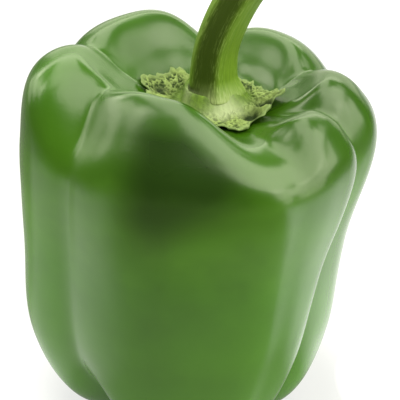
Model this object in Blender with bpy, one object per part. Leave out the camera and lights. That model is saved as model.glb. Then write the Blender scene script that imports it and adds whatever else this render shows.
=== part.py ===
"""Green bell pepper, picked and standing on its lobes: the fruit, its calyx and its cut stem.

Blender 4.5, metres, +Z up. The dimensions below are in millimetres.
"""
import math

import bmesh
import bpy
from mathutils import Vector
from mathutils.bvhtree import BVHTree

MM = 0.001

# Heights shared by the whole fruit. A meridian of the skin runs through twelve stations:
# pit, floor and wall of the crown, ridge, brow, shoulder, waist, low, turn, foot, inner and dimple.
PIT_HEIGHT = 78.6
PIT_FLOOR_RADIUS = 12.0
PIT_FLOOR_RISE = 0.6
PIT_WALL_REACH = 0.70      # of the ridge radius
PIT_WALL_RISE = 0.48       # of the ridge's height above the pit
CREST_SHOULDER_HEIGHT = 71.0
GROOVE_SHOULDER_HEIGHT = 69.0
WAIST_HEIGHT = 48.0
LOW_HEIGHT = 23.0
TURN_HEIGHT = 6.5
FOOT_SINK = 0.35           # cut off flat where a foot bears on the surface
INNER_HEIGHT = 4.0
INNER_REACH = 0.45         # of the foot radius
DIMPLE_HEIGHT = 8.0
GROOVE_FULLNESS = 1.5      # how fast a lobe swells away from its groove

# The axis wanders a little: x and y of the meridians' centre at each station.
AXIS_X = (3.0, 3.0, 2.2, 1.1, 0.3, 0.0, -0.5, -1.5, -2.5, -3.0, -3.0, -3.0)
AXIS_Y = (0.5, 0.5, 1.2, 1.8, 0.6, 0.0, 0.0, 0.0, 0.0, 0.0, 0.0, 0.0)

# Each lobe's crest: top is its crown height, ridge to foot are radii, brow is how far along and
# down from ridge to shoulder the brow lies, peak is where between its two grooves the crest runs.
LOBES = (
    dict(top=87.0, ridge=29.0, brow=(0.66, 0.30), shoulder=41.6, waist=35.8, low=33.2,
         turn=28.2, foot=19.5, lift=0.0, peak=0.50),
    dict(top=88.2, ridge=25.0, brow=(0.62, 0.32), shoulder=38.8, waist=35.0, low=31.5,
         turn=26.0, foot=18.0, lift=0.0, peak=0.45),
    dict(top=90.6, ridge=28.0, brow=(0.66, 0.28), shoulder=41.3, waist=38.0, low=33.0,
         turn=27.0, foot=18.0, lift=0.0, peak=0.60),
    dict(top=91.2, ridge=30.0, brow=(0.80, 0.25), shoulder=42.0, waist=41.2, low=39.4,
         turn=31.4, foot=22.0, lift=0.0, peak=0.43),
    dict(top=90.0, ridge=22.0, brow=(0.56, 0.38), shoulder=33.2, waist=33.8, low=31.5,
         turn=27.0, foot=19.0, lift=0.0, peak=0.42),
    dict(top=85.3, ridge=30.0, brow=(0.64, 0.28), shoulder=41.0, waist=37.5, low=33.5,
         turn=27.5, foot=19.0, lift=0.9, peak=0.60),
)

# The groove before each lobe. heading is its compass angle at the crown, ridge, brow, shoulder,
# waist, low and foot; shoulder to foot are shares of the neighbouring crests' mean radius; soft is
# how rounded its bottom is at the crown, on the side and at the foot; lift raises its foot.
GROOVES = (
    dict(heading=(335, 338, 342, 342, 329, 325, 322), saddle=81.5, ridge=28.0, brow=(0.66, 0.30),
         shoulder=0.91, waist=0.91, low=0.87, foot=0.62, soft=(0.20, 0.12, 0.12), lift=5.0),
    dict(heading=(12, 14, 17, 18, 18, 18, 20), saddle=84.0, ridge=25.0, brow=(0.66, 0.30),
         shoulder=0.90, waist=0.91, low=0.88, foot=0.62, soft=(0.20, 0.20, 0.20), lift=5.0),
    dict(heading=(85, 84, 82, 80, 80, 82, 85), saddle=84.5, ridge=22.0, brow=(0.66, 0.30),
         shoulder=0.88, waist=0.90, low=0.86, foot=0.62, soft=(0.20, 0.20, 0.20), lift=5.0),
    dict(heading=(163, 159, 155, 152, 150, 150, 150), saddle=88.2, ridge=28.0, brow=(0.70, 0.27),
         shoulder=0.93, waist=0.92, low=0.88, foot=0.62, soft=(0.20, 0.25, 0.25), lift=5.0),
    dict(heading=(196, 201, 209, 213, 212, 212, 214), saddle=86.3, ridge=24.5, brow=(0.53, 0.43),
         shoulder=0.93, waist=0.92, low=0.90, foot=0.70, soft=(0.80, 0.55, 0.16), lift=5.0),
    dict(heading=(297, 299, 302, 303, 300, 295, 290), saddle=80.2, ridge=28.5, brow=(0.64, 0.30),
         shoulder=1.06, waist=1.04, low=1.05, foot=1.00, soft=(0.80, 0.80, 0.80), lift=1.0),
)
PEAK_FADE = (3.5, 2.5)     # station where an off-centre crest starts to straighten, and over how many
BODY_SEGMENTS = 72
BODY_RINGS = 36

# Calyx: a thin ragged disc in the pit, drawn up in the middle into a flare under the stem.
CALYX_CENTRE = (3.0, 0.5)
CALYX_TIPS = ((45, 12.8), (90, 13.6), (124, 15.4), (157, 18.2), (190, 15.2), (225, 13.4),
              (262, 15.4), (294, 17.4), (323, 16.4), (354, 16.9))   # compass angle and reach
CALYX_NOTCH = 1.5
CALYX_THICKNESS = 1.3
CALYX_GAP = 0.55
FLARE_TOP_RADIUS = 6.2
FLARE_FOOT_RADIUS = 10.5
SEAT_HEIGHT = 84.3
CALYX_SEGMENTS = 60
CALYX_RINGS = 16

# Stem: five soft ridges around a line that leans to the right as it rises.
STEM_GAP = 0.35
STEM_LINE = ((3.2, 0.2, SEAT_HEIGHT + STEM_GAP), (3.2, 0.2, 88.0), (3.9, 0.2, 94.2),
             (6.2, 0.2, 101.2), (9.8, 0.3, 108.3), (13.6, 0.6, 114.0))
STEM_RADII = (5.8, 5.5, 5.2, 5.1, 5.1, 5.7)
STEM_RIDGES = 5
STEM_RIDGE_DEPTH = 0.05    # of the radius
STEM_PROFILE_POINTS = 30
STEM_STEPS = 4

SKIN_GREEN = (0.060, 0.150, 0.016)
CALYX_GREEN = (0.230, 0.360, 0.085)
STEM_GREEN = (0.110, 0.190, 0.020)


def clear_scene():
    for item in list(bpy.data.objects):
        bpy.data.objects.remove(item, do_unlink=True)


def new_collection(name):
    collection = bpy.data.collections.new(name)
    bpy.context.scene.collection.children.link(collection)
    return collection


def skin_material(name, colour, roughness):
    material = bpy.data.materials.new(name)
    material.use_nodes = True
    shader = material.node_tree.nodes["Principled BSDF"]
    shader.inputs["Base Color"].default_value = (*colour, 1.0)
    shader.inputs["Roughness"].default_value = roughness
    shader.inputs["Metallic"].default_value = 0.0
    material.diffuse_color = (*colour, 1.0)
    return material


def mesh_object(name, bm, collection, material):
    mesh = bpy.data.meshes.new(name)
    bm.to_mesh(mesh)
    mesh.shade_smooth()
    mesh.materials.append(material)
    item = bpy.data.objects.new(name, mesh)
    collection.objects.link(item)
    return item


def smooth_step(value):
    value = min(max(value, 0.0), 1.0)
    return value * value * (3.0 - 2.0 * value)


def along_curve(values, place):
    """Catmull-Rom curve through evenly spaced values, read at a place counted in values."""
    last = len(values) - 1
    start = min(int(place), last - 1)
    t = place - start
    a = values[max(start - 1, 0)]
    b = values[start]
    c = values[start + 1]
    d = values[min(start + 2, last)]
    return b + 0.5 * t * (c - a + t * (2 * a - 5 * b + 4 * c - d + t * (3 * (b - c) + d - a)))


def meridian(ridge, top, brow, shoulder, waist, low, turn, foot, shoulder_height, lift):
    """Radii and heights of one meridian at the twelve stations."""
    radii = (0.0, PIT_FLOOR_RADIUS, ridge * PIT_WALL_REACH, ridge,
             ridge + (shoulder - ridge) * brow[0], shoulder, waist, low, turn, foot,
             foot * INNER_REACH, 0.0)
    heights = (PIT_HEIGHT, PIT_HEIGHT + PIT_FLOOR_RISE,
               PIT_HEIGHT + (top - PIT_HEIGHT) * PIT_WALL_RISE, top,
               top - (top - shoulder_height) * brow[1], shoulder_height, WAIST_HEIGHT,
               LOW_HEIGHT, TURN_HEIGHT + lift, lift - FOOT_SINK, INNER_HEIGHT + 0.6 * lift,
               DIMPLE_HEIGHT)
    return radii, heights


def crest_meridian(lobe):
    return meridian(lobe["ridge"], lobe["top"], lobe["brow"], lobe["shoulder"], lobe["waist"],
                    lobe["low"], lobe["turn"], lobe["foot"], CREST_SHOULDER_HEIGHT, lobe["lift"])


def groove_meridian(index):
    groove = GROOVES[index]
    before, after = LOBES[index - 1], LOBES[index]

    def between(key, share):
        return 0.5 * (before[key] + after[key]) * share

    turn_share = 0.8 * groove["low"] + 0.2 * groove["foot"]
    return meridian(groove["ridge"], groove["saddle"], groove["brow"],
                    between("shoulder", groove["shoulder"]), between("waist", groove["waist"]),
                    between("low", groove["low"]), between("turn", turn_share),
                    between("foot", groove["foot"]), GROOVE_SHOULDER_HEIGHT, groove["lift"])


def groove_headings(groove):
    crown, ridge, brow, shoulder, waist, low, foot = groove["heading"]
    return (crown, crown, crown, ridge, brow, shoulder, waist, low, 0.5 * (low + foot),
            foot, foot, foot)


def groove_softness(groove):
    crown, side, foot = groove["soft"]
    return ((crown,) * 4 + (0.5 * (crown + side),) + (side,) * 2 + (0.5 * (side + foot),)
            + (foot,) * 4)


CRESTS = [crest_meridian(lobe) for lobe in LOBES]
VALLEYS = [groove_meridian(index) for index in range(len(GROOVES))]


def skin_point(turn, along):
    """Point of the skin: turn counts lobes around the fruit, along counts stations down it."""
    index = int(turn) % len(LOBES)
    after = (index + 1) % len(LOBES)
    share = turn - int(turn)
    first = along_curve(groove_headings(GROOVES[index]), along)
    last = along_curve(groove_headings(GROOVES[after]), along)
    heading = math.radians(first + ((last - first) % 360.0) * share)
    soft = (along_curve(groove_softness(GROOVES[index]), along) * (1.0 - share)
            + along_curve(groove_softness(GROOVES[after]), along) * share)

    straight = smooth_step((along - PEAK_FADE[0]) / PEAK_FADE[1])
    peak = LOBES[index]["peak"] * (1.0 - straight) + 0.5 * straight
    wave = math.sin(math.pi * share ** (math.log(0.5) / math.log(peak)))
    swell = (math.hypot(wave, soft) - soft) / (math.hypot(1.0, soft) - soft)
    swell = 1.0 - max(1.0 - swell, 0.0) ** GROOVE_FULLNESS

    blend = smooth_step(share)
    reach, height = (
        (1.0 - swell) * ((1.0 - blend) * along_curve(VALLEYS[index][part], along)
                         + blend * along_curve(VALLEYS[after][part], along))
        + swell * along_curve(CRESTS[index][part], along)
        for part in (0, 1))
    return Vector((along_curve(AXIS_X, along) + reach * math.cos(heading),
                   along_curve(AXIS_Y, along) + reach * math.sin(heading), height)) * MM


def sphere_place(co):
    """Heading from 0 to 1 and distance from the top pole from 0 to 1 of a point on a unit sphere."""
    heading = (math.atan2(co.y, co.x) / math.tau) % 1.0
    return heading, math.acos(min(max(co.z, -1.0), 1.0)) / math.pi


def body_shape():
    bm = bmesh.new()
    bmesh.ops.create_uvsphere(bm, u_segments=BODY_SEGMENTS, v_segments=BODY_RINGS, radius=1.0)
    for vert in bm.verts:
        heading, down = sphere_place(vert.co)
        vert.co = skin_point(heading * len(LOBES), down * (len(AXIS_X) - 1))
    return bm


def flatten_feet(body, cutters):
    """Cuts the feet that reach below the surface flat at z = 0."""
    depth = 10 * FOOT_SINK * MM
    bm = bmesh.new()
    bmesh.ops.create_cube(bm, size=1.0)
    bmesh.ops.scale(bm, vec=(0.12, 0.12, depth), verts=bm.verts)
    bmesh.ops.translate(bm, vec=(0.0, 0.0, -0.5 * depth), verts=bm.verts)
    mesh = bpy.data.meshes.new("floor_cutter")
    bm.to_mesh(mesh)
    bm.free()
    cutter = bpy.data.objects.new("floor_cutter", mesh)
    cutter.hide_render = True
    cutter.display_type = "WIRE"
    cutters.objects.link(cutter)
    cut = body.modifiers.new("flat_feet", "BOOLEAN")
    cut.operation = "DIFFERENCE"
    cut.solver = "EXACT"
    cut.object = cutter


def skin_height(skin, x, y):
    hit = skin.ray_cast(Vector((x, y, 2 * PIT_HEIGHT * MM)), Vector((0.0, 0.0, -1.0)))[0]
    return hit.z


def calyx_reach(heading):
    """Distance from the calyx's centre to its ragged rim, heading counted from 0 to 1."""
    angle = heading * 360.0
    for index, (before, first) in enumerate(CALYX_TIPS):
        after, last = CALYX_TIPS[(index + 1) % len(CALYX_TIPS)]
        span = (after - before) % 360.0
        share = ((angle - before) % 360.0) / span
        if share < 1.0:
            return first + (last - first) * share - CALYX_NOTCH * math.sin(math.pi * share) ** 2
    return CALYX_TIPS[0][1]


def calyx_shape(skin):
    """A closed disc that follows the pit below and rises to the stem's seat in the middle."""
    bm = bmesh.new()
    bmesh.ops.create_uvsphere(bm, u_segments=CALYX_SEGMENTS, v_segments=CALYX_RINGS, radius=1.0)
    for vert in bm.verts:
        heading, down = sphere_place(vert.co)
        spread = 1.0 - abs(1.0 - 2.0 * down)
        reach = calyx_reach(heading) * spread
        x = (CALYX_CENTRE[0] + reach * math.cos(heading * math.tau)) * MM
        y = (CALYX_CENTRE[1] + reach * math.sin(heading * math.tau)) * MM
        under = skin_height(skin, x, y) + CALYX_GAP * MM
        if down > 0.5:
            vert.co = (x, y, under)
            continue
        rim = under + CALYX_THICKNESS * MM * (0.5 if spread > 0.999 else 1.0)
        flare = smooth_step((FLARE_FOOT_RADIUS - reach) / (FLARE_FOOT_RADIUS - FLARE_TOP_RADIUS))
        vert.co = (x, y, rim * (1.0 - flare) + SEAT_HEIGHT * MM * flare)
    return bm


def stem_profile(cutters):
    """Outline of the stem across its length, one unit in mean radius."""
    curve = bpy.data.curves.new("stem_profile", "CURVE")
    curve.dimensions = "2D"
    spline = curve.splines.new("POLY")
    spline.points.add(STEM_PROFILE_POINTS - 1)
    spline.use_cyclic_u = True
    for index, point in enumerate(spline.points):
        turn = -math.tau * index / STEM_PROFILE_POINTS
        radius = 1.0 + STEM_RIDGE_DEPTH * math.cos(STEM_RIDGES * turn)
        point.co = (radius * math.cos(turn) * MM, radius * math.sin(turn) * MM, 0.0, 1.0)
    guide = bpy.data.objects.new("stem_profile", curve)
    guide.hide_render = True
    guide.display_type = "WIRE"
    cutters.objects.link(guide)
    return guide


def build_stem(collection, cutters, material):
    curve = bpy.data.curves.new("stem", "CURVE")
    curve.dimensions = "3D"
    curve.bevel_mode = "OBJECT"
    curve.bevel_object = stem_profile(cutters)
    curve.use_fill_caps = True
    curve.resolution_u = STEM_STEPS
    spline = curve.splines.new("BEZIER")
    spline.bezier_points.add(len(STEM_LINE) - 1)
    for point, place, radius in zip(spline.bezier_points, STEM_LINE, STEM_RADII):
        point.co = Vector(place) * MM
        point.handle_left_type = point.handle_right_type = "AUTO"
        point.radius = radius
    curve.materials.append(material)
    stem = bpy.data.objects.new("stem", curve)
    collection.objects.link(stem)
    return stem


def stand_on_origin(body, others):
    """Puts the middle of the fruit's box over the origin, so that the box's base is centred on it."""
    middle = Vector()
    for axis in (0, 1):
        reach = [vert.co[axis] for vert in body.data.vertices]
        middle[axis] = 0.5 * (min(reach) + max(reach))
    for item in (body, *others):
        item.location -= middle


def main():
    clear_scene()
    parts = new_collection("bell_pepper")
    cutters = new_collection("cutters")
    shape = body_shape()
    skin = BVHTree.FromBMesh(shape)
    body = mesh_object("pepper_body", shape, parts, skin_material("skin", SKIN_GREEN, 0.25))
    flatten_feet(body, cutters)
    calyx = mesh_object("calyx", calyx_shape(skin), parts,
                        skin_material("calyx", CALYX_GREEN, 0.75))
    stem = build_stem(parts, cutters, skin_material("stem", STEM_GREEN, 0.55))
    stand_on_origin(body, (calyx, stem))


main()
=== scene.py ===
# Green bell pepper, picked and standing on its lobes, in a small white studio.
import math

import bmesh
import bpy
import numpy as np
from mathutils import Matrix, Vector, noise
from mathutils.bvhtree import BVHTree


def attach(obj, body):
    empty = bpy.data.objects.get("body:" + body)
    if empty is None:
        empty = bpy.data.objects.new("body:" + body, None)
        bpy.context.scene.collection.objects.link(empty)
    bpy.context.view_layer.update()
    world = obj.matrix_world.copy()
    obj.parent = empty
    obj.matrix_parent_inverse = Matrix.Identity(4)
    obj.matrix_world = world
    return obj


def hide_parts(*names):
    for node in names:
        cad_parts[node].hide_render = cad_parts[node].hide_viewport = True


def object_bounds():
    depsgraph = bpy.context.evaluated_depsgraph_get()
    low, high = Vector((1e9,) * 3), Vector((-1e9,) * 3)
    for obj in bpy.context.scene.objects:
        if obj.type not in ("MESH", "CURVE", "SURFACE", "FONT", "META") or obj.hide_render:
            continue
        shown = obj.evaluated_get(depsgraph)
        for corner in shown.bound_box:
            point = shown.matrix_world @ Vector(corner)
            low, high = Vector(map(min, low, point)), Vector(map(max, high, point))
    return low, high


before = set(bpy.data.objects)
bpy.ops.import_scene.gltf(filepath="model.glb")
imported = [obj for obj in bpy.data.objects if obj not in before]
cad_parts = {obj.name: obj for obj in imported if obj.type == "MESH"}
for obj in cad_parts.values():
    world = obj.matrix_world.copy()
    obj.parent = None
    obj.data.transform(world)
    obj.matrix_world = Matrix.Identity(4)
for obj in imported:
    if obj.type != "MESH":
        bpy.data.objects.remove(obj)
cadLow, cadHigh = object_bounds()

mm = 0.001


def smoothStep(value):
    value = np.clip(value, 0.0, 1.0)
    return value * value * (3.0 - 2.0 * value)


def alongCurve(values, place):
    # smooth curve through evenly spaced values, read at places counted in values
    values = np.asarray(values, float)
    last = len(values) - 1
    start = np.clip(np.floor(place).astype(int), 0, last - 1)
    t = place - start
    a, b = values[np.maximum(start - 1, 0)], values[start]
    c, d = values[start + 1], values[np.minimum(start + 2, last)]
    return b + 0.5 * t * (c - a + t * (2 * a - 5 * b + 4 * c - d + t * (3 * (b - c) + d - a)))


def startPiece(addOperator, name, **settings):
    bpy.ops.object.select_all(action="DESELECT")
    addOperator(**settings)
    piece = bpy.context.object
    piece.name = piece.data.name = name
    return piece


def readPoints(piece):
    points = np.empty(len(piece.data.vertices) * 3)
    piece.data.vertices.foreach_get("co", points)
    return points.reshape(-1, 3)


def writePoints(piece, points):
    piece.data.vertices.foreach_set("co", np.ascontiguousarray(points, np.float32).ravel())
    piece.data.update()


def addMask(piece, name, values):
    layer = piece.data.attributes.new(name, "FLOAT", "POINT")
    layer.data.foreach_set("value", np.ascontiguousarray(values, np.float32))


def finishPiece(piece, nodeName, material):
    bpy.ops.object.select_all(action="DESELECT")
    piece.select_set(True)
    bpy.context.view_layer.objects.active = piece
    bpy.ops.object.transform_apply(location=True, rotation=True, scale=True)
    bpy.ops.object.shade_smooth()
    piece.data.materials.clear()
    piece.data.materials.append(material)
    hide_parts(nodeName)
    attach(piece, "root")


view = {
    "elevation": 29.0,
    "distance": 0.700,
    "aim": (0.00049, -0.00205, 0.0537),
    "frameWidth": 0.09492,    # what the picture is wide at the aim
    "sensor": 36.0,
}

rise = math.radians(view["elevation"])
backward = Vector((0.0, -math.cos(rise), math.sin(rise)))
cameraData = bpy.data.cameras.new("studioCamera")
cameraData.sensor_width = view["sensor"]
cameraData.lens = view["sensor"] * view["distance"] / view["frameWidth"]
cameraData.clip_start = 0.05
cameraData.clip_end = 20.0
camera = bpy.data.objects.new("studioCamera", cameraData)
camera.location = Vector(view["aim"]) + backward * view["distance"]
camera.rotation_euler = backward.to_track_quat("Z", "Y").to_euler()
bpy.context.scene.collection.objects.link(camera)
bpy.context.scene.camera = camera
print("camera placed")

fruit = {
    "segments": 240,
    "rings": 132,
    "pitHeight": 78.6,
    "floorRadius": 12.0,
    "floorRise": 0.6,
    "wallReach": 0.70,
    "wallRise": 0.48,
    "crestShoulder": 71.0,
    "grooveShoulder": 69.0,
    "waistHeight": 48.0,
    "lowHeight": 23.0,
    "turnHeight": 6.5,
    "footSink": 0.35,
    "innerHeight": 4.0,
    "innerReach": 0.45,
    "dimpleHeight": 8.0,
    "axisX": (3.0, 3.0, 2.2, 1.1, 0.3, 0.0, -0.5, -1.5, -2.5, -3.0, -3.0, -3.0),
    "axisY": (0.5, 0.5, 1.2, 1.8, 0.6, 0.0, 0.0, 0.0, 0.0, 0.0, 0.0, 0.0),
    "peakFade": (3.5, 2.5),
    "waveSize": 0.016,        # soft unevenness of the skin, in metres
    "waveDepth": 0.00035,
    # painted shade high on the front lobe, standing in for a dark reflection: where it fades in
    # and out, in millimetres and degrees
    "paintedShadeLow": (52.5, 15.0),
    "paintedShadeLowSlant": (-103.0, 0.42),   # its foot rises to the right of this heading
    "paintedShadeHigh": (82.5, 5.0),
    "paintedShadeHighSlant": (-96.0, 0.35),   # and its top comes down to the right of this one
    "paintedShadeHeading": -96.0,
    "paintedShadeWidth": (12.0, 21.0),
}

# right, back right, back left, left, front and front right lobe, along their crests: full says
# how fast a lobe swells away from its grooves, and peak where between them its crest runs
lobes = (
    dict(top=87.0, ridge=29.0, brow=(0.66, 0.30), shoulder=41.6, waist=35.8, low=32.9,
         turn=27.7, foot=19.3, lift=0.0, peak=0.50, full=1.5),
    dict(top=88.2, ridge=25.0, brow=(0.62, 0.32), shoulder=38.8, waist=35.0, low=31.5,
         turn=26.0, foot=18.0, lift=0.0, peak=0.45, full=1.5),
    dict(top=90.6, ridge=28.0, brow=(0.66, 0.28), shoulder=41.3, waist=38.0, low=33.0,
         turn=27.0, foot=18.0, lift=0.0, peak=0.60, full=2.0),
    dict(top=91.2, ridge=30.0, brow=(0.80, 0.25), shoulder=42.0, waist=41.2, low=39.4,
         turn=31.4, foot=22.0, lift=0.0, peak=0.43, full=1.5),
    dict(top=90.0, ridge=22.0, brow=(0.56, 0.38), shoulder=33.2, waist=33.8, low=31.5,
         turn=27.0, foot=19.0, lift=0.0, peak=0.42, full=1.5),
    dict(top=85.3, ridge=30.0, brow=(0.64, 0.28), shoulder=41.0, waist=37.5, low=33.5,
         turn=27.5, foot=19.0, lift=0.9, peak=0.60, full=1.5),
)

# the groove before each lobe: its compass heading from crown to foot, and how deep it runs
grooves = (
    dict(heading=(335, 338, 342, 342, 329, 325, 322), saddle=81.5, ridge=28.0, brow=(0.66, 0.30),
         shoulder=0.91, waist=0.91, low=0.87, foot=0.62, soft=(0.20, 0.12, 0.12), lift=5.0),
    dict(heading=(12, 14, 17, 18, 18, 18, 20), saddle=84.0, ridge=25.0, brow=(0.66, 0.30),
         shoulder=0.90, waist=0.91, low=0.88, foot=0.62, soft=(0.20, 0.20, 0.20), lift=5.0),
    dict(heading=(85, 84, 82, 80, 80, 82, 85), saddle=84.5, ridge=22.0, brow=(0.66, 0.30),
         shoulder=0.88, waist=0.90, low=0.86, foot=0.62, soft=(0.20, 0.20, 0.20), lift=5.0),
    dict(heading=(163, 159, 155, 152, 150, 150, 150), saddle=88.2, ridge=28.0, brow=(0.70, 0.27),
         shoulder=0.93, waist=0.92, low=0.88, foot=0.62, soft=(0.20, 0.25, 0.25), lift=5.0),
    dict(heading=(196, 201, 209, 213, 212, 212, 214), saddle=86.3, ridge=24.5, brow=(0.53, 0.43),
         shoulder=0.93, waist=0.92, low=0.90, foot=0.70, soft=(0.80, 0.55, 0.16), lift=5.0),
    dict(heading=(297, 299, 302, 303, 300, 295, 290), saddle=80.2, ridge=28.5, brow=(0.64, 0.30),
         shoulder=1.06, waist=1.04, low=1.05, foot=1.00, soft=(0.80, 0.80, 0.80), lift=1.0),
)


def meridian(ridge, top, brow, shoulder, waist, low, turn, foot, shoulderHeight, lift):
    # radii and heights down the skin, from the pit over the ridge to the foot and the dimple
    pit = fruit["pitHeight"]
    radii = (0.0, fruit["floorRadius"], ridge * fruit["wallReach"], ridge,
             ridge + (shoulder - ridge) * brow[0], shoulder, waist, low, turn, foot,
             foot * fruit["innerReach"], 0.0)
    heights = (pit, pit + fruit["floorRise"], pit + (top - pit) * fruit["wallRise"], top,
               top - (top - shoulderHeight) * brow[1], shoulderHeight, fruit["waistHeight"],
               fruit["lowHeight"], fruit["turnHeight"] + lift, lift - fruit["footSink"],
               fruit["innerHeight"] + 0.6 * lift, fruit["dimpleHeight"])
    return radii, heights


def crestMeridian(lobe):
    return meridian(lobe["ridge"], lobe["top"], lobe["brow"], lobe["shoulder"], lobe["waist"],
                    lobe["low"], lobe["turn"], lobe["foot"], fruit["crestShoulder"], lobe["lift"])


def grooveMeridian(index):
    groove, before, after = grooves[index], lobes[index - 1], lobes[index]
    between = {key: 0.5 * (before[key] + after[key])
               for key in ("shoulder", "waist", "low", "turn", "foot")}
    turnShare = 0.8 * groove["low"] + 0.2 * groove["foot"]
    return meridian(groove["ridge"], groove["saddle"], groove["brow"],
                    between["shoulder"] * groove["shoulder"], between["waist"] * groove["waist"],
                    between["low"] * groove["low"], between["turn"] * turnShare,
                    between["foot"] * groove["foot"], fruit["grooveShoulder"], groove["lift"])


def grooveHeadings(groove):
    crown, ridge, brow, shoulder, waist, low, foot = groove["heading"]
    return (crown, crown, crown, ridge, brow, shoulder, waist, low, 0.5 * (low + foot),
            foot, foot, foot)


def grooveSoftness(groove):
    crown, side, foot = groove["soft"]
    return ((crown,) * 4 + (0.5 * (crown + side),) + (side,) * 2 + (0.5 * (side + foot),)
            + (foot,) * 4)


crests = [crestMeridian(lobe) for lobe in lobes]
valleys = [grooveMeridian(index) for index in range(len(grooves))]


def skinPoints(turn, along):
    # turn counts lobes around the fruit, along counts stations down a meridian
    points = np.empty((len(turn), 3))
    turn = turn % len(lobes)
    for index in range(len(lobes)):
        here = np.floor(turn).astype(int) == index
        after = (index + 1) % len(lobes)
        share, down = turn[here] - index, along[here]
        first = alongCurve(grooveHeadings(grooves[index]), down)
        last = alongCurve(grooveHeadings(grooves[after]), down)
        heading = np.radians(first + ((last - first) % 360.0) * share)
        soft = (alongCurve(grooveSoftness(grooves[index]), down) * (1.0 - share)
                + alongCurve(grooveSoftness(grooves[after]), down) * share)
        straight = smoothStep((down - fruit["peakFade"][0]) / fruit["peakFade"][1])
        peak = lobes[index]["peak"] * (1.0 - straight) + 0.5 * straight
        wave = np.sin(np.pi * np.power(share, math.log(0.5) / np.log(peak)))
        swell = (np.hypot(wave, soft) - soft) / (np.hypot(1.0, soft) - soft)
        swell = 1.0 - np.clip(1.0 - swell, 0.0, 1.0) ** lobes[index]["full"]
        blend = smoothStep(share)
        reach, height = (
            (1.0 - swell) * ((1.0 - blend) * alongCurve(valleys[index][part], down)
                             + blend * alongCurve(valleys[after][part], down))
            + swell * alongCurve(crests[index][part], down)
            for part in (0, 1))
        points[here, 0] = alongCurve(fruit["axisX"], down) + reach * np.cos(heading)
        points[here, 1] = alongCurve(fruit["axisY"], down) + reach * np.sin(heading)
        points[here, 2] = height
    return points * mm


def sphereShares(points, radius):
    # heading and distance from the top pole, both from 0 to 1
    heading = (np.arctan2(points[:, 1], points[:, 0]) / math.tau) % 1.0
    return heading, np.arccos(np.clip(points[:, 2] / radius, -1.0, 1.0)) / math.pi


def buildFruit(material):
    radius = 0.5 * (cadHigh.x - cadLow.x)
    piece = startPiece(bpy.ops.mesh.primitive_uv_sphere_add, "fruitSkin", radius=radius,
                       segments=fruit["segments"], ring_count=fruit["rings"],
                       location=(0.0, 0.0, radius))
    heading, down = sphereShares(readPoints(piece), radius)
    points = skinPoints(heading * len(lobes), down * (len(fruit["axisX"]) - 1))
    middle = 0.5 * (points.min(0) + points.max(0))
    points[:, :2] -= middle[:2]
    piece.location = (0.0, 0.0, 0.0)
    writePoints(piece, points)

    waves = bpy.data.textures.new("skinWaves", "CLOUDS")
    waves.noise_scale = fruit["waveSize"]
    waves.noise_depth = 0
    uneven = piece.modifiers.new("uneven", "DISPLACE")
    uneven.texture = waves
    uneven.texture_coords = "LOCAL"
    uneven.strength = fruit["waveDepth"]
    uneven.mid_level = 0.5
    bpy.ops.object.modifier_apply(modifier="uneven")

    bpy.ops.object.mode_set(mode="EDIT")
    bpy.ops.mesh.select_all(action="SELECT")
    bpy.ops.mesh.bisect(plane_co=(0.0, 0.0, 0.0), plane_no=(0.0, 0.0, 1.0), use_fill=True,
                        clear_inner=True, threshold=0.000001)
    bpy.ops.object.mode_set(mode="OBJECT")
    points = readPoints(piece)
    turned = np.degrees(np.arctan2(points[:, 1], points[:, 0]))
    tall = points[:, 2] / mm
    # painted shade: a darker patch high on the front lobe that stands in for a dark reflection
    start, slope = fruit["paintedShadeLowSlant"]
    foot = fruit["paintedShadeLow"][0] + slope * np.maximum(turned - start, 0.0)
    paintedShade = smoothStep((tall - foot) / fruit["paintedShadeLow"][1])
    start, slope = fruit["paintedShadeHighSlant"]
    top = fruit["paintedShadeHigh"][0] - slope * np.maximum(turned - start, 0.0)
    paintedShade *= 1.0 - smoothStep((tall - top) / fruit["paintedShadeHigh"][1])
    sideways = np.abs(turned - fruit["paintedShadeHeading"])
    paintedShade *= 1.0 - smoothStep((sideways - fruit["paintedShadeWidth"][0]) / fruit["paintedShadeWidth"][1])
    addMask(piece, "paintedShade", paintedShade)
    finishPiece(piece, "pepper_body", material)
    return piece, Vector((middle[0], middle[1], 0.0))


calyx = {
    "startRadius": 0.018,     # metres
    "segments": 400,
    "rings": 124,
    "topShare": 0.74,         # of the rings that lie on the upper side
    "centre": (3.0, 0.5),
    # compass heading and reach of each tip of the ragged rim
    "tips": ((45, 12.8), (90, 13.6), (124, 15.4), (157, 18.2), (190, 15.2), (225, 13.4),
             (262, 15.4), (294, 17.4), (323, 16.4), (354, 16.9)),
    "notch": 1.5,
    "jag": 0.65,              # small teeth of the rim, and how many millimetres one takes
    "jagLength": 1.7,
    "ragged": 0.6,            # how far the rim rises and falls
    "gap": 0.25,
    "thickness": 1.0,
    "rimThickness": 0.35,
    "lift": 0.7,              # how far the rim stands off the skin
    "flaps": ((338, 24, 2.3), (176, 14, 0.7), (130, 16, 0.6)),    # heading, width, extra lift
    # heading, reach, width and depth of each hollow, then heading and height of each rib
    "hollows": ((313, 13.2, 1.7, 1.5), (336, 13.2, 1.8, 1.6), (160, 13.0, 1.6, 0.8)),
    "ribs": ((325, 1.1), (352, 0.8), (298, 0.5), (120, 0.6), (182, 0.7), (72, 0.5)),
    "ribWidth": 1.1,
    "cell": 1.7,              # size of the crinkles, and how high their ridges stand
    "ridgeHeight": 1.0,
    "ridgeWidth": 0.15,
    "fineShare": 0.45,        # of finer crinkles between them
    "socket": 0.35,           # how far the front of the flare climbs up the stem
    "flareTop": 6.2,
    "flareFoot": (7.5, 10.8),
    "seat": 84.3,
    # pale patches of the flare: heading, width, strength, and the reach over which each fades
    "creams": ((292.0, 30.0, 1.0, 13.0, 4.0), (208.0, 24.0, 0.8, 9.5, 1.5)),
    "fibres": 46,
    "fibreDepth": 0.05,
}


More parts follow.
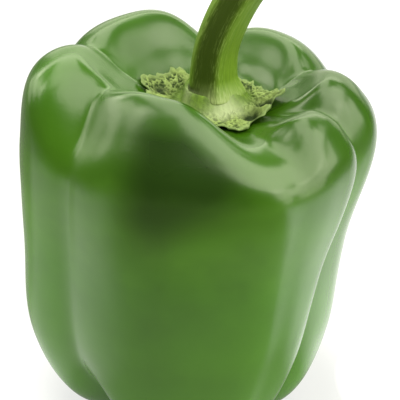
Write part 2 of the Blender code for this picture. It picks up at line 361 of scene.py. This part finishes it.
def rimReach(degrees):
    headings = np.array([tip[0] for tip in calyx["tips"]] + [calyx["tips"][0][0] + 360.0])
    reaches = np.array([tip[1] for tip in calyx["tips"]] + [calyx["tips"][0][1]])
    turned = (degrees - headings[0]) % 360.0 + headings[0]
    index = np.clip(np.searchsorted(headings, turned, side="right") - 1, 0, len(reaches) - 2)
    share = (turned - headings[index]) / (headings[index + 1] - headings[index])
    straight = reaches[index] * (1.0 - share) + reaches[index + 1] * share
    return straight - calyx["notch"] * np.sin(math.pi * share) ** 2


def bump(distance, width):
    return np.exp(-(distance / width) ** 2)


def headingGap(degrees, heading):
    return (degrees - heading + 180.0) % 360.0 - 180.0


def roughly(points, size, seed=0.0):
    # soft noise about zero, one wave about as long as size
    return np.array([noise.noise(Vector(point) / size + Vector((seed, seed, seed)))
                     for point in points])


def crinkles(points, cell):
    # 1 on the ridges between the cells and 0 inside them
    wobble = np.stack([roughly(points, cell * 0.7, seed) for seed in (3.0, 17.0, 31.0)], 1)
    warped = points / cell + 0.6 * wobble
    between = np.array([np.diff(noise.voronoi(Vector(place))[0][:2])[0] for place in warped])
    return bump(between, calyx["ridgeWidth"])


def buildCalyx(material, skin, rawMiddle):
    piece = startPiece(bpy.ops.mesh.primitive_uv_sphere_add, "crinkledCalyx",
                       radius=calyx["startRadius"], segments=calyx["segments"],
                       ring_count=calyx["rings"], location=(0.0, 0.0, calyx["seat"] * mm))
    heading, down = sphereShares(readPoints(piece), calyx["startRadius"])
    degrees = heading * 360.0
    upper = down <= calyx["topShare"]
    spread = np.where(upper, down / calyx["topShare"], (1.0 - down) / (1.0 - calyx["topShare"]))
    rim = rimReach(degrees)
    around = np.stack([np.cos(np.radians(degrees)), np.sin(np.radians(degrees)), 0.0 * degrees], 1)
    teeth = roughly(around * rim[:, None], calyx["jagLength"], 7.0) * calyx["jag"] * 2.0
    reach = (rim + teeth * spread ** 5) * spread
    flat = around * reach[:, None]
    flat[:, 0] += calyx["centre"][0] - rawMiddle.x / mm
    flat[:, 1] += calyx["centre"][1] - rawMiddle.y / mm

    surface = BVHTree.FromObject(skin, bpy.context.evaluated_depsgraph_get())
    drop = Vector((0.0, 0.0, -1.0))
    ground = np.array([surface.ray_cast(Vector((x * mm, y * mm, 2.0 * cadHigh.z)), drop)[0].z / mm
                       for x, y in flat[:, :2]])

    lift = calyx["lift"] * (0.7 + 0.6 * roughly(around * 3.0, 1.0, 11.0))
    for middle, width, extra in calyx["flaps"]:
        lift = lift + extra * bump(headingGap(degrees, middle), width)
    edge = smoothStep((spread - 0.55) / 0.45)
    lift = lift + calyx["ragged"] * roughly(around * rim[:, None], 1.6, 19.0) * spread ** 4
    sink, rib = np.zeros(len(down)), np.zeros(len(down))
    for middle, place, width, depth in calyx["hollows"]:
        across = np.radians(headingGap(degrees, middle)) * reach
        sink += depth * bump(np.hypot(across, reach - place), width)
    for middle, height in calyx["ribs"]:
        across = np.radians(headingGap(degrees, middle)) * reach
        rib += height * bump(across, calyx["ribWidth"]) * smoothStep(2.2 - 1.6 * spread)
    under = ground + calyx["gap"] + np.maximum(lift * edge - sink, 0.0)

    toFront = smoothStep((np.cos(np.radians(degrees - 300.0)) + 0.2) / 0.9)
    flareFoot = calyx["flareFoot"][0] * (1.0 - toFront) + calyx["flareFoot"][1] * toFront
    flare = smoothStep((flareFoot - reach) / (flareFoot - calyx["flareTop"]))
    loose = smoothStep((reach - calyx["flareTop"] - 1.5) / 3.0)
    coarse, fine = crinkles(flat, calyx["cell"]), crinkles(flat, 0.45 * calyx["cell"])
    network = np.maximum(coarse, calyx["fineShare"] * fine) * loose
    thickness = calyx["thickness"] * (1.0 - edge) + calyx["rimThickness"] * edge
    relief = calyx["ridgeHeight"] * (network - 0.35 * loose) * (1.0 - 0.6 * edge)
    relief = relief + rib * loose - 0.5 * sink
    top = under + np.maximum(thickness + relief, 0.3)
    fibre = np.cos(np.radians(degrees) * calyx["fibres"] + 2.0 * roughly(flat, 4.0, 23.0))
    socket = calyx["socket"] * toFront * bump(reach - 6.9, 0.6)
    top = top * (1.0 - flare) + calyx["seat"] * flare + socket
    top += calyx["fibreDepth"] * fibre * 4.0 * flare * (1.0 - flare)
    height = np.where(upper, top, under)
    onRim = spread > 0.999
    height[onRim] = under[onRim] + 0.5 * calyx["rimThickness"]
    piece.location = (0.0, 0.0, 0.0)
    writePoints(piece, np.column_stack([flat[:, :2], height]) * mm)
    addMask(piece, "ridge", np.where(upper, network + rib * loose, 0.3))
    addMask(piece, "flare", np.where(upper, smoothStep((12.0 - reach) / 4.5), 0.0))
    cream = np.zeros(len(down))
    for middle, width, strength, limit, fadeLength in calyx["creams"]:
        patch = strength * bump(headingGap(degrees, middle), width)
        cream += patch * smoothStep((limit - reach) / fadeLength)
    addMask(piece, "cream", np.where(upper, cream, 0.0))
    join = smoothStep((9.6 - reach) / 2.6) * (1.0 - 0.75 * cream)
    addMask(piece, "join", np.where(upper, join, 0.0))
    # painted shade in the hollows under the lifted rim
    addMask(piece, "hollowShade", np.clip(1.3 * sink, 0.0, 1.0))
    addMask(piece, "edge", smoothStep((spread - 0.90) / 0.08))
    finishPiece(piece, "calyx", material)
    return piece


stem = {
    "sides": 160,
    "cuts": 110,
    "insets": 9,
    "length": 33.0,
    "line": ((3.2, 0.2, 83.0), (3.2, 0.2, 88.0), (3.9, 0.2, 94.2), (6.2, 0.2, 101.2),
             (9.8, 0.3, 108.3), (13.6, 0.6, 114.0)),
    "radii": (5.8, 5.5, 5.15, 5.05, 5.0, 5.5),
    "ridges": 5,
    "ridgeHeading": 280.0,
    "ridgeDepth": 0.10,       # of the radius
    "fibreDepth": 0.07,
    "collar": 0.35,
    "collarHeight": 2.1,
    "foot": 1.7,              # how far the foot spreads into the calyx on one side
    "footHeading": 310.0,
    "footHeight": 7.5,
    "paleHeading": 292.0,     # the foot is palest here, and the next one is the middle of a painted shade band down the stem
    "paleWidth": 32.0,
    "paintedShadeBandHeading": 246.0,
    "cutHollow": 0.7,
    "cutRound": 0.35,
}


def selectOnly(mesh, kind, test):
    for group in (mesh.verts, mesh.edges, mesh.faces):
        for item in group:
            item.select = False
    for item in getattr(mesh, kind):
        if test(item):
            item.select_set(True)


def buildStem(material, rawMiddle):
    piece = startPiece(bpy.ops.mesh.primitive_cylinder_add, "cutStem", vertices=stem["sides"],
                       radius=1.0, depth=1.0, location=(0.0, 0.0, 0.5))
    bpy.ops.object.transform_apply(location=True, rotation=True, scale=True)
    bpy.ops.object.mode_set(mode="EDIT")
    mesh = bmesh.from_edit_mesh(piece.data)
    selectOnly(mesh, "edges", lambda edge: abs(edge.verts[0].co.z - edge.verts[1].co.z) > 0.5)
    bpy.ops.mesh.subdivide(number_cuts=stem["cuts"])
    for end in (0.0, 1.0):
        mesh = bmesh.from_edit_mesh(piece.data)
        selectOnly(mesh, "faces", lambda face: len(face.verts) == stem["sides"]
                   and abs(face.calc_center_median().z - end) < 0.01)
        for inset in range(stem["insets"]):
            bpy.ops.mesh.inset(thickness=0.1)
        bpy.ops.mesh.poke()
    bpy.ops.object.mode_set(mode="OBJECT")

    points = readPoints(piece)
    share, angle = np.hypot(points[:, 0], points[:, 1]), np.arctan2(points[:, 1], points[:, 0])
    last = len(stem["line"]) - 1
    up = points[:, 2] * last
    line = np.array(stem["line"]) - np.array((*rawMiddle.xy, 0.0)) / mm

    def centre(place):
        return np.stack([alongCurve(line[:, axis], place) for axis in range(3)], 1)

    tangent = centre(np.minimum(up + 0.01, last)) - centre(np.maximum(up - 0.01, 0.0))
    tangent /= np.linalg.norm(tangent, axis=1)[:, None]
    side = np.cross((0.0, 1.0, 0.0), tangent)
    side /= np.linalg.norm(side, axis=1)[:, None]
    across = np.cross(tangent, side)
    tall = points[:, 2] * stem["length"]
    ring = np.stack([np.cos(angle), np.sin(angle), 0.0 * angle], 1)
    turn = angle - math.radians(stem["ridgeHeading"])
    turn = turn + 0.12 * roughly(ring + tall[:, None] * (0.0, 0.0, 0.06), 1.0, 5.0)
    crest = 1.0 - np.abs(np.sin(0.5 * stem["ridges"] * turn)) ** 1.3
    fibre = roughly(ring * 5.2 + tall[:, None] * (0.0, 0.0, 0.05), 0.55, 9.0)
    radius = alongCurve(stem["radii"], up) * (1.0 + stem["ridgeDepth"] * (crest - 0.5))
    radius += stem["fibreDepth"] * fibre
    degrees = np.degrees(angle)
    toFoot = smoothStep((np.cos(np.radians(degrees - stem["footHeading"])) + 0.35) / 1.1)
    radius += stem["collar"] * bump(tall - stem["collarHeight"], 0.6) * (1.0 - toFoot)
    radius -= 0.5 * stem["collar"] * bump(tall - stem["collarHeight"] - 1.2, 0.5) * (1.0 - toFoot)
    radius += stem["foot"] * (1.0 - smoothStep(tall / stem["footHeight"])) ** 1.5 * toFoot
    radius -= stem["cutRound"] * smoothStep((points[:, 2] - 0.985) / 0.015)
    onCut = points[:, 2] > 0.9999
    dip = np.where(onCut, stem["cutHollow"] * (1.0 - share ** 3), 0.0)
    dip = dip - np.where(onCut, 0.25 * bump(share - 0.72, 0.08), 0.0)
    rough = np.where(onCut, 0.15 * roughly(points * 6.0, 1.0, 13.0), 0.0)
    reach = (share * radius)[:, None]
    ringPlace = reach * (np.cos(angle)[:, None] * side + np.sin(angle)[:, None] * across)
    writePoints(piece, (centre(up) + ringPlace - tangent * (dip + rough)[:, None]) * mm)
    addMask(piece, "crest", np.where(share > 0.995, crest, 0.5))
    addMask(piece, "pith", np.where(onCut, smoothStep((0.98 - share) / 0.06), 0.0))
    pale = bump(headingGap(degrees, stem["paleHeading"]), stem["paleWidth"])
    onFoot = (1.0 - smoothStep((tall - 0.5) / 6.0)) * (0.35 * toFoot + 0.65 * pale)
    addMask(piece, "foot", onFoot)
    # painted shade in the crease above the collar, on the side away from the foot
    addMask(piece, "collar", bump(tall - stem["collarHeight"] - 0.9, 0.8) * (1.0 - toFoot))
    # painted shade: a dark band down the stem, on the side turned away from the lights
    toShade = np.cos(np.radians(degrees - stem["paintedShadeBandHeading"]))
    addMask(piece, "shade", smoothStep((toShade - 0.77) / 0.18))
    streak = piece.data.attributes.new("streak", "FLOAT_VECTOR", "POINT")
    grain = np.column_stack([ring[:, 0], ring[:, 1], tall * 0.02])
    streak.data.foreach_set("vector", np.ascontiguousarray(grain, np.float32).ravel())
    finishPiece(piece, "stem", material)
    return piece


def newMaterial(name, roughness, specular=0.5):
    material = bpy.data.materials.new(name)
    material.use_nodes = True
    tree = material.node_tree
    shader = tree.nodes["Principled BSDF"]
    shader.inputs["Roughness"].default_value = roughness
    shader.inputs["Specular IOR Level"].default_value = specular
    return material, tree, shader


def addNode(tree, kind, **inputs):
    node = tree.nodes.new(kind)
    for key, value in inputs.items():
        node.inputs[key].default_value = value
    return node


def readMask(tree, name, output="Fac"):
    node = tree.nodes.new("ShaderNodeAttribute")
    node.attribute_name = name
    return node.outputs[output]


def mixColour(tree, factor, first, second, blend="MIX"):
    node = tree.nodes.new("ShaderNodeMix")
    node.data_type = "RGBA"
    node.blend_type = blend
    for place, value in ((0, factor), (6, first), (7, second)):
        if isinstance(value, tuple):
            node.inputs[place].default_value = (*value, 1.0)
        elif isinstance(value, float):
            node.inputs[place].default_value = value
        else:
            tree.links.new(value, node.inputs[place])
    return node.outputs[2]


def mathNode(tree, operation, *values):
    node = tree.nodes.new("ShaderNodeMath")
    node.operation = operation
    for slot, value in enumerate(values):
        if isinstance(value, (int, float)):
            node.inputs[slot].default_value = value
        else:
            tree.links.new(value, node.inputs[slot])
    return node.outputs["Value"]


def stretch(tree, value, low, high, toLow=0.0, toHigh=1.0):
    node = addNode(tree, "ShaderNodeMapRange")
    for key, number in (("From Min", low), ("From Max", high), ("To Min", toLow),
                        ("To Max", toHigh)):
        if isinstance(number, float):
            node.inputs[key].default_value = number
        else:
            tree.links.new(number, node.inputs[key])
    tree.links.new(value, node.inputs["Value"])
    return node.outputs["Result"]


def makeGrain():
    group = bpy.data.node_groups.new("surfaceGrain", "ShaderNodeTree")
    for name, kind in (("Vector", "NodeSocketVector"), ("Scale", "NodeSocketFloat"),
                       ("Detail", "NodeSocketFloat")):
        group.interface.new_socket(name, in_out="INPUT", socket_type=kind)
    group.interface.new_socket("Grain", in_out="OUTPUT", socket_type="NodeSocketFloat")
    start, end = group.nodes.new("NodeGroupInput"), group.nodes.new("NodeGroupOutput")
    node = addNode(group, "ShaderNodeTexNoise", Roughness=0.6)
    for name in ("Vector", "Scale", "Detail"):
        group.links.new(start.outputs[name], node.inputs[name])
    group.links.new(node.outputs["Fac"], end.inputs["Grain"])
    return group


surfaceGrain = makeGrain()


def grainNoise(tree, vector, scale, detail=3.0):
    node = tree.nodes.new("ShaderNodeGroup")
    node.node_tree = surfaceGrain
    node.inputs["Scale"].default_value = scale
    node.inputs["Detail"].default_value = detail
    tree.links.new(vector, node.inputs["Vector"])
    return node.outputs["Grain"]


def addBump(tree, shader, height, distance, strength=1.0):
    node = addNode(tree, "ShaderNodeBump", Distance=distance, Strength=strength)
    tree.links.new(height, node.inputs["Height"])
    tree.links.new(node.outputs["Normal"], shader.inputs["Normal"])


skinLook = {
    "roughness": 0.27,
    "coat": 0.30,
    "coatRoughness": 0.18,
    "mottleScale": 55.0,
    "mottleShade": 0.80,
    "wander": 0.0035,         # how far the green's levels stray up and down
    "grainScale": 420.0,
    "grainDepth": 0.00004,
    # greens from the foot up to the crown, at heights in metres: lighter low down, partly the
    # fruit's own tone and partly painted light from the floor
    "rampHeight": 0.1,
    "greensWithPaintedLight": ((0.008, (0.100, 0.300, 0.014)), (0.024, (0.080, 0.235, 0.010)),
               (0.045, (0.070, 0.208, 0.009)), (0.060, (0.083, 0.226, 0.013)),
               (0.068, (0.064, 0.176, 0.009)), (0.075, (0.040, 0.116, 0.004)),
               (0.086, (0.032, 0.098, 0.004))),
    "leftPaintedLight": 1.38,        # painted light and shade: the greens are lighter on the left and darker on the right
    "leftReach": (-0.034, -0.011),
    "rightPaintedShade": 0.86,
    "rightReach": (0.014, 0.030),
    "paintedShadeDepth": 0.39,       # and darker under the painted shade high on the front lobe
}


def skinMaterial():
    look = skinLook
    material, tree, shader = newMaterial("waxySkin", look["roughness"])
    shader.inputs["Coat Weight"].default_value = look["coat"]
    shader.inputs["Coat Roughness"].default_value = look["coatRoughness"]
    place = tree.nodes.new("ShaderNodeTexCoord").outputs["Object"]
    axes = tree.nodes.new("ShaderNodeSeparateXYZ")
    tree.links.new(place, axes.inputs["Vector"])
    # partly painted light: the greens grow lighter toward the foot and darker at the crown
    ramp = tree.nodes.new("ShaderNodeValToRGB")
    ramp.color_ramp.interpolation = "EASE"
    stops = ramp.color_ramp.elements
    for index, (level, green) in enumerate(look["greensWithPaintedLight"]):
        stop = stops[0] if index == 0 else stops.new(level / look["rampHeight"])
        stop.position = level / look["rampHeight"]
        stop.color = (*green, 1.0)
    stops.remove(stops[-1])
    mottle = grainNoise(tree, place, look["mottleScale"])
    wander = stretch(tree, mottle, 0.3, 0.7, -look["wander"], look["wander"])
    height = mathNode(tree, "ADD", axes.outputs["Z"], wander)
    tree.links.new(stretch(tree, height, 0.0, look["rampHeight"]), ramp.inputs["Fac"])
    shade = stretch(tree, mottle, 0.3, 0.7, look["mottleShade"], 1.0)
    # painted light on the left side of the skin and painted shade on the right
    left = stretch(tree, axes.outputs["X"], *look["leftReach"], look["leftPaintedLight"], 1.0)
    side = stretch(tree, axes.outputs["X"], *look["rightReach"], left, look["rightPaintedShade"])
    # painted shade for a dark reflection darkens the greens on the front lobe
    paintedShade = stretch(tree, readMask(tree, "paintedShade"), 0.0, 1.0, 1.0, look["paintedShadeDepth"])
    depth = mathNode(tree, "MULTIPLY", shade, mathNode(tree, "MULTIPLY", side, paintedShade))
    colour = mixColour(tree, 1.0, ramp.outputs["Color"], depth, "MULTIPLY")
    tree.links.new(colour, shader.inputs["Base Color"])
    addBump(tree, shader, grainNoise(tree, place, look["grainScale"]), look["grainDepth"])
    return material


calyxLook = {
    "roughness": 0.62,
    # the crinkles' pits: darker partly in their own green and partly as painted shade
    "pit": (0.020, 0.042, 0.005),
    "ridge": (0.265, 0.345, 0.115),
    "flare": (0.110, 0.180, 0.026),
    "cream": (0.350, 0.400, 0.240),
    "fibre": (0.055, 0.105, 0.008),
    "joint": (0.130, 0.225, 0.020),
    "hollowShade": (0.012, 0.026, 0.003),
    "edge": (0.200, 0.270, 0.100),
    "fleckScale": 700.0,
    "blotchScale": 260.0,
    "grainScale": 1600.0,
    "grainDepth": 0.00012,
}


def calyxMaterial():
    look = calyxLook
    material, tree, shader = newMaterial("driedCalyx", look["roughness"], 0.20)
    place = tree.nodes.new("ShaderNodeTexCoord").outputs["Object"]
    fleck = grainNoise(tree, place, look["fleckScale"])
    blotch = grainNoise(tree, place, look["blotchScale"])
    rough = stretch(tree, fleck, 0.3, 0.7, -0.45, 0.30)
    ridge = mathNode(tree, "ADD", readMask(tree, "ridge"), rough)
    # pits between the crinkle ridges are darkened, partly as painted shade
    colour = mixColour(tree, stretch(tree, ridge, 0.10, 0.80), look["pit"], look["ridge"])
    colour = mixColour(tree, stretch(tree, blotch, 0.52, 0.72, 0.0, 0.6), colour, look["pit"])
    flare = mixColour(tree, stretch(tree, blotch, 0.40, 0.65), look["flare"], look["fibre"])
    colour = mixColour(tree, readMask(tree, "flare"), colour, flare)
    joint = mixColour(tree, stretch(tree, fleck, 0.35, 0.65), look["fibre"], look["joint"])
    colour = mixColour(tree, readMask(tree, "cream"), colour, look["cream"])
    colour = mixColour(tree, readMask(tree, "join"), colour, joint)
    colour = mixColour(tree, readMask(tree, "edge"), colour, look["edge"])
    # painted shade darkens the hollows under the rim
    colour = mixColour(tree, readMask(tree, "hollowShade"), colour, look["hollowShade"])
    tree.links.new(colour, shader.inputs["Base Color"])
    addBump(tree, shader, grainNoise(tree, place, look["grainScale"]), look["grainDepth"])
    return material


stemLook = {
    "roughness": 0.55,
    "paintedShadeGreen": (0.036, 0.064, 0.003),
    "crest": (0.098, 0.186, 0.010),
    "bright": (0.135, 0.235, 0.017),
    "fleck": (0.230, 0.330, 0.080),
    "foot": (0.300, 0.360, 0.160),
    "collar": (0.020, 0.028, 0.004),
    "pith": (0.210, 0.260, 0.120),
    "streakScale": 9.0,
    "fleckScale": 22.0,
    "grainScale": 1200.0,
    "grainShare": 0.4,
    "grainDepth": 0.00010,
}


def stemMaterial():
    look = stemLook
    material, tree, shader = newMaterial("stalkRind", look["roughness"], 0.28)
    place = tree.nodes.new("ShaderNodeTexCoord").outputs["Object"]
    along = readMask(tree, "streak", "Vector")
    streak = grainNoise(tree, along, look["streakScale"], 4.0)
    fleck = grainNoise(tree, along, look["fleckScale"], 2.0)
    shade = readMask(tree, "shade")
    lit = mixColour(tree, stretch(tree, streak, 0.35, 0.68), look["crest"], look["bright"])
    # the painted shade band darkens the stem
    colour = mixColour(tree, shade, lit, look["paintedShadeGreen"])
    raised = mathNode(tree, "MULTIPLY", readMask(tree, "crest"), stretch(tree, fleck, 0.52, 0.66))
    colour = mixColour(tree, mathNode(tree, "MULTIPLY", raised, 0.7), colour, look["fleck"])
    # painted shade darkens the crease above the collar
    colour = mixColour(tree, readMask(tree, "collar"), colour, look["collar"])
    pale = stretch(tree, fleck, 0.40, 0.62, 0.45, 1.0)
    onFoot = mathNode(tree, "MULTIPLY", readMask(tree, "foot"), pale)
    colour = mixColour(tree, onFoot, colour, look["foot"])
    colour = mixColour(tree, readMask(tree, "pith"), colour, look["pith"])
    tree.links.new(colour, shader.inputs["Base Color"])
    grain = grainNoise(tree, place, look["grainScale"])
    both = mathNode(tree, "ADD", streak, mathNode(tree, "MULTIPLY", grain, look["grainShare"]))
    addBump(tree, shader, both, look["grainDepth"])
    return material


studio = {
    "floorSize": 10.0,
    "floorGrey": 0.10,
    "floorWhite": 0.90,       # what the camera sees of the table's own light
    "paintedShadowShare": 0.82,       # of it that is left in a painted shadow round the foot
    "paintedShadowReach": (0.0009, 0.0018),    # square metres
    "ambient": 0.08,
    "lampColour": (0.98, 1.0, 0.76),
    # the white table is lit from below, except in front of the fruit
    "leftGlow": 0.95,
    "rightGlow": 2.0,
    "backGlow": 1.0,
    "leftReach": (0.025, 0.045),
    "rightReach": (0.022, 0.046),
    "backReach": (-0.02, 0.06),
    "leftSlope": -0.5,
    "leftFront": (-0.060, 0.020),
    "leftBack": (0.00, 0.04),
    "rightSlope": 1.1,
    "rightFront": (0.000, 0.050),
    "rightBack": (-0.01, 0.03),
    "rightBackShare": 0.6,
    "backLeft": (-0.06, 0.00),
    "backLeftShare": 0.1,
    "nearGlow": 0.32,         # a weak glow all round the foot
    "nearReach": (0.010, 0.022),       # square metres
    "leftEdge": (0.22, 0.40),
    "rightEdge": (0.20, 0.30),
}

# soft boxes: heading is a compass angle from +X with 270 towards the camera, rise is above the
# horizon, both in degrees as seen from the fruit, and so are wide and tall
softBoxes = {
    "rightFrontBox": dict(heading=316, rise=23, wide=25, tall=30, distance=0.9, glow=3.8),
    "rightLowBox": dict(heading=320, rise=0, wide=16, tall=15, distance=0.9, glow=3.4),
    "rightHighBox": dict(heading=345, rise=22, wide=32, tall=24, distance=0.9, glow=4.0),
    "backHighBox": dict(heading=98, rise=38, wide=74, tall=15, distance=1.1, glow=3.8),
    "backLowBox": dict(heading=77, rise=14, wide=70, tall=28, distance=1.1, glow=1.4),
    "leftHighBox": dict(heading=177, rise=40, wide=36, tall=14, distance=1.0, glow=3.7),
    "leftMiddleBox": dict(heading=155, rise=26, wide=46, tall=13, distance=1.0, glow=4.0),
    "leftLowBox": dict(heading=147, rise=9, wide=36, tall=18, distance=1.0, glow=1.8),
}
# flat panels that hang side by side over the fruit, in metres
panelHeight = 0.95
panels = {
    "frontPanel": dict(left=-0.20, right=0.34, front=-0.72, back=-0.05, glow=4.0),
    "frontLeftPanel": dict(left=-0.40, right=-0.20, front=-0.33, back=-0.05, glow=4.0),
    "frontLowPanel": dict(left=0.00, right=1.00, front=-1.25, back=-0.72, glow=4.0),
    "leftPanel": dict(left=-0.92, right=-0.56, front=-0.26, back=0.00, glow=5.6),
    "rightPanel": dict(left=0.34, right=1.00, front=-0.72, back=0.12, glow=4.8),
    "farPanel": dict(left=0.58, right=1.00, front=0.12, back=0.55, glow=2.6),
    "backPanel": dict(left=-0.45, right=0.18, front=-0.05, back=0.84, glow=3.6),
}


def floorMaterial():
    material, tree, shader = newMaterial("floorPaper", 0.8, 0.2)
    shader.inputs["Base Color"].default_value = (*(studio["floorGrey"],) * 3, 1.0)
    shader.inputs["Emission Color"].default_value = (1.0, 1.0, 1.0, 1.0)
    place, apart = tree.nodes.new("ShaderNodeTexCoord"), tree.nodes.new("ShaderNodeSeparateXYZ")
    tree.links.new(place.outputs["Object"], apart.inputs["Vector"])

    def fade(source, near, far, low, high):
        node = addNode(tree, "ShaderNodeMapRange")
        node.interpolation_type = "SMOOTHSTEP"
        for key, value in (("From Min", near), ("From Max", far), ("To Min", low),
                           ("To Max", high)):
            node.inputs[key].default_value = value
        tree.links.new(source, node.inputs["Value"])
        return node.outputs["Result"]

    near, far = studio["leftReach"]
    left = fade(apart.outputs["X"], -far, -near, studio["leftGlow"], 0.0)
    right = fade(apart.outputs["X"], *studio["rightReach"], 0.0, studio["rightGlow"])
    back = fade(apart.outputs["Y"], *studio["backReach"], 0.0, studio["backGlow"])
    # in front of the fruit both sides fade out along slanting lines
    leftSlant, rightSlant = (
        mathNode(tree, "MULTIPLY_ADD", apart.outputs["X"], slope, apart.outputs["Y"])
        for slope in (studio["leftSlope"], studio["rightSlope"]))
    leftOut = fade(apart.outputs["Y"], *studio["leftBack"], 1.0, 0.0)
    rightOut = fade(apart.outputs["Y"], *studio["rightBack"], 1.0, studio["rightBackShare"])
    backOut = fade(apart.outputs["X"], *studio["backLeft"], studio["backLeftShare"], 1.0)
    left = mathNode(tree, "MULTIPLY", left, fade(leftSlant, *studio["leftFront"], 0.0, 1.0))
    left = mathNode(tree, "MULTIPLY", left, leftOut)
    back = mathNode(tree, "MULTIPLY", back, backOut)
    right = mathNode(tree, "MULTIPLY", right, rightOut)
    right = mathNode(tree, "MULTIPLY", right, fade(rightSlant, *studio["rightFront"], 0.0, 1.0))
    near, far = studio["leftEdge"]
    leftDim = fade(apart.outputs["X"], -far, -near, 0.0, 1.0)
    rightDim = fade(apart.outputs["X"], *studio["rightEdge"], 1.0, 0.0)
    glow = mathNode(tree, "MAXIMUM", mathNode(tree, "ADD", left, right), back)
    glow = mathNode(tree, "MULTIPLY", glow, mathNode(tree, "MULTIPLY", leftDim, rightDim))
    square = mathNode(tree, "MULTIPLY", apart.outputs["X"], apart.outputs["X"])
    square = mathNode(tree, "MULTIPLY_ADD", apart.outputs["Y"], apart.outputs["Y"], square)
    around = fade(square, *studio["nearReach"], studio["nearGlow"], 0.0)
    glow = mathNode(tree, "MAXIMUM", glow, around)
    path = tree.nodes.new("ShaderNodeLightPath")
    # painted shadow: the white the camera sees is dimmed in a soft ring round the foot
    paintedShadowWhite = fade(square, *studio["paintedShadowReach"], studio["paintedShadowShare"] * studio["floorWhite"],
                  studio["floorWhite"])
    white = mathNode(tree, "MULTIPLY", path.outputs["Is Camera Ray"], paintedShadowWhite)
    tree.links.new(mathNode(tree, "MAXIMUM", glow, white), shader.inputs["Emission Strength"])
    return material


def addBox(name, place, aim, wide, tall, glow):
    lamp = bpy.data.lights.new(name, "AREA")
    lamp.shape = "RECTANGLE"
    lamp.size, lamp.size_y = wide, tall
    lamp.energy = glow * math.pi * wide * tall
    lamp.color = studio["lampColour"]
    item = bpy.data.objects.new(name, lamp)
    item.location = place
    item.rotation_euler = (Vector(place) - Vector(aim)).to_track_quat("Z", "Y").to_euler()
    item.visible_camera = False
    bpy.context.scene.collection.objects.link(item)


def buildStudio():
    floor = startPiece(bpy.ops.mesh.primitive_plane_add, "studioFloor", size=studio["floorSize"])
    floor.data.materials.append(floorMaterial())

    middle = Vector((0.0, 0.0, 0.5 * (cadLow.z + cadHigh.z)))
    for name, box in softBoxes.items():
        heading, rise = math.radians(box["heading"]), math.radians(box["rise"])
        toBox = Vector((math.cos(rise) * math.cos(heading), math.cos(rise) * math.sin(heading),
                        math.sin(rise)))
        wide, tall = (2.0 * box["distance"] * math.tan(0.5 * math.radians(box[key]))
                      for key in ("wide", "tall"))
        addBox(name, middle + toBox * box["distance"], middle, wide, tall, box["glow"])
    for name, panel in panels.items():
        wide, deep = panel["right"] - panel["left"], panel["back"] - panel["front"]
        place = Vector((panel["left"] + 0.5 * wide, panel["front"] + 0.5 * deep, panelHeight))
        addBox(name, place, place - Vector((0.0, 0.0, 1.0)), wide, deep, panel["glow"])

    world = bpy.data.worlds.new("studioWorld")
    bpy.context.scene.world = world
    world.use_nodes = True
    tree = world.node_tree
    tree.nodes.clear()
    dim, pale = (addNode(tree, "ShaderNodeBackground", Strength=strength)
                 for strength in (studio["ambient"], 1.0))
    dim.inputs["Color"].default_value = pale.inputs["Color"].default_value = (1, 1, 1, 1)
    path, mix = tree.nodes.new("ShaderNodeLightPath"), tree.nodes.new("ShaderNodeMixShader")
    output = tree.nodes.new("ShaderNodeOutputWorld")
    tree.links.new(path.outputs["Is Camera Ray"], mix.inputs["Fac"])
    tree.links.new(dim.outputs["Background"], mix.inputs[1])
    tree.links.new(pale.outputs["Background"], mix.inputs[2])
    tree.links.new(mix.outputs["Shader"], output.inputs["Surface"])
    bpy.context.scene.view_settings.view_transform = "Standard"
    print("studio lit")


skin, rawMiddle = buildFruit(skinMaterial())
print("fruit shaped:", len(skin.data.polygons), "faces")
crown = buildCalyx(calyxMaterial(), skin, rawMiddle)
print("calyx crinkled:", len(crown.data.polygons), "faces")
stalk = buildStem(stemMaterial(), rawMiddle)
print("stem drawn up:", len(stalk.data.polygons), "faces")
buildStudio()
